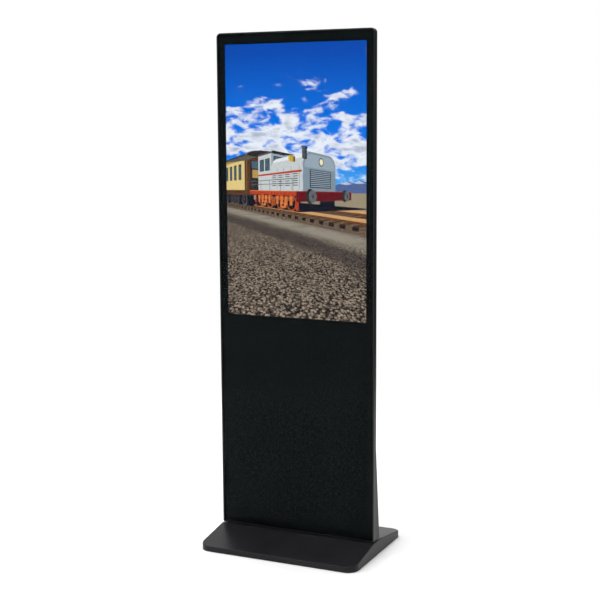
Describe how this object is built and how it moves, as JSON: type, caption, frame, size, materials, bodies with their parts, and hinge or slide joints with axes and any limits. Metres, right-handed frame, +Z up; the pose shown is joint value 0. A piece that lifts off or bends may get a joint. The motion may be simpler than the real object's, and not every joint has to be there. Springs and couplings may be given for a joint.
{
  "type": "touchscreen kiosk",
  "caption": "Free-standing portrait touchscreen kiosk with a glass front, slim cabinet, rear service door and low roof-shaped steel base.",
  "frame": {"origin": "on the floor under the middle of the base", "axes": "+X to the right seen from the front, +Y from the glass to the back, +Z up"},
  "size_m": [0.596, 0.45, 1.804],
  "materials": {
    "black_powder_coat": "fine-texture satin",
    "base_powder_coat": "fine-texture satin",
    "frame_anodised": "black anodised, satin",
    "zinc_steel": "zinc plated",
    "pan_coat": "fine-texture satin",
    "bolt_steel": "zinc plated",
    "black_screws": "black oxide",
    "pad_rubber": "matte",
    "clear_glass": "polished",
    "black_ink": "printed, seen through the glass",
    "tape_foam": "matte foam",
    "film_glass": "clear film",
    "lcd_black": "satin",
    "screen": "lit display",
    "guide_acrylic": "clear acrylic",
    "hinge_steel": "satin black",
    "lock_chrome": "polished",
    "circuit_board": "solder mask",
    "player_aluminium": "satin",
    "sink_aluminium": "black anodised",
    "button_plastic": "moulded",
    "inlet_plastic": "moulded",
    "pin_brass": "nickel plated brass",
    "speaker_basket": "pressed steel",
    "speaker_cone": "pulp cone",
    "fan_plastic": "moulded",
    "lead_pvc": "PVC sheath"
  },
  "bodies": {
    "cabinet": {"base_cover": "base_powder_coat", "ballast_plate": "zinc_steel", "base_pads": "pad_rubber", "base_cover_screws": "bolt_steel", "base_posts": "zinc_steel", "post_bolts": "bolt_steel", "left_upright": "zinc_steel", "right_upright": "zinc_steel", "upright_bolts": "bolt_steel", "front_frame": "frame_anodised", "front_glass": "clear_glass", "ink_border": "black_ink", "glass_tape": "tape_foam", "touch_film": "film_glass", "lcd_gasket": "tape_foam", "lcd_bezel": "lcd_black", "lcd_cell": "screen", "light_guide": "guide_acrylic", "backlight_tray": "zinc_steel", "lcd_rails": "zinc_steel", "back_pan": "pan_coat", "pan_screws": "black_screws", "rear_cover": "black_powder_coat", "cover_standoffs": "bolt_steel", "cover_screws": "black_screws", "left_flare": "black_powder_coat", "right_flare": "black_powder_coat", "flare_rivets": "black_screws", "door_surround": "zinc_steel", "door_gasket": "tape_foam", "hinge_frame_leaves": "hinge_steel", "hinge_pins": "bolt_steel", "psu_case": "zinc_steel", "psu_board": "circuit_board", "player_case": "player_aluminium", "player_board": "circuit_board", "player_heatsink": "sink_aluminium", "player_sockets": "bolt_steel", "touch_controller": "circuit_board", "mains_inlet": "inlet_plastic", "inlet_pins": "pin_brass", "speaker_baskets": "speaker_basket", "speaker_cones": "speaker_cone", "fan_frames": "fan_plastic", "mains_lead": "lead_pvc", "player_lead": "lead_pvc", "display_lead": "lead_pvc"},
    "door": {"rear_door": "black_powder_coat", "hinge_door_leaves": "hinge_steel", "lock_barrels": "lock_chrome", "lock_nuts": "bolt_steel"},
    "lower_lock": {"lower_lock_plug": "lock_chrome", "lower_lock_cam": "bolt_steel"},
    "upper_lock": {"upper_lock_plug": "lock_chrome", "upper_lock_cam": "bolt_steel"},
    "rocker": {"power_rocker": "button_plastic"},
    "fuse_holder": {"fuse_drawer": "button_plastic"},
    "button": {"power_button": "button_plastic"},
    "left_fan": {"left_fan_rotor": "fan_plastic"},
    "right_fan": {"right_fan_rotor": "fan_plastic"}
  },
  "joints": [
    {"name": "door_swing", "type": "hinge", "parent": "cabinet", "child": "door", "pos_m": [-0.1915, 0.0162, 0.39], "axis": [0, 0, 1], "range_deg": [0, 110]},
    {"name": "lower_lock_turn", "type": "hinge", "parent": "door", "child": "lower_lock", "pos_m": [0.1655, 0.013, 0.26], "axis": [0, -1, 0], "range_deg": [0, 90]},
    {"name": "upper_lock_turn", "type": "hinge", "parent": "door", "child": "upper_lock", "pos_m": [0.1655, 0.013, 0.52], "axis": [0, -1, 0], "range_deg": [0, 90]},
    {"name": "rocker_tilt", "type": "hinge", "parent": "cabinet", "child": "rocker", "pos_m": [0.12, 0.0135, 0.13], "axis": [-1, 0, 0], "range_deg": [0, 14]},
    {"name": "fuse_slide", "type": "slide", "parent": "cabinet", "child": "fuse_holder", "axis": [0, 1, 0], "range_m": [0, 0.018]},
    {"name": "button_press", "type": "slide", "parent": "cabinet", "child": "button", "axis": [0, 0, 1], "range_m": [0, 0.0015], "stiffness_N_per_m": 400, "springref_m": -0.0005},
    {"name": "left_fan_spin", "type": "hinge", "parent": "cabinet", "child": "left_fan", "pos_m": [-0.09, 0.004, 1.644], "axis": [0, 1, 0], "continuous": true},
    {"name": "right_fan_spin", "type": "hinge", "parent": "cabinet", "child": "right_fan", "pos_m": [0.09, 0.004, 1.644], "axis": [0, 1, 0], "continuous": true}
  ]
}
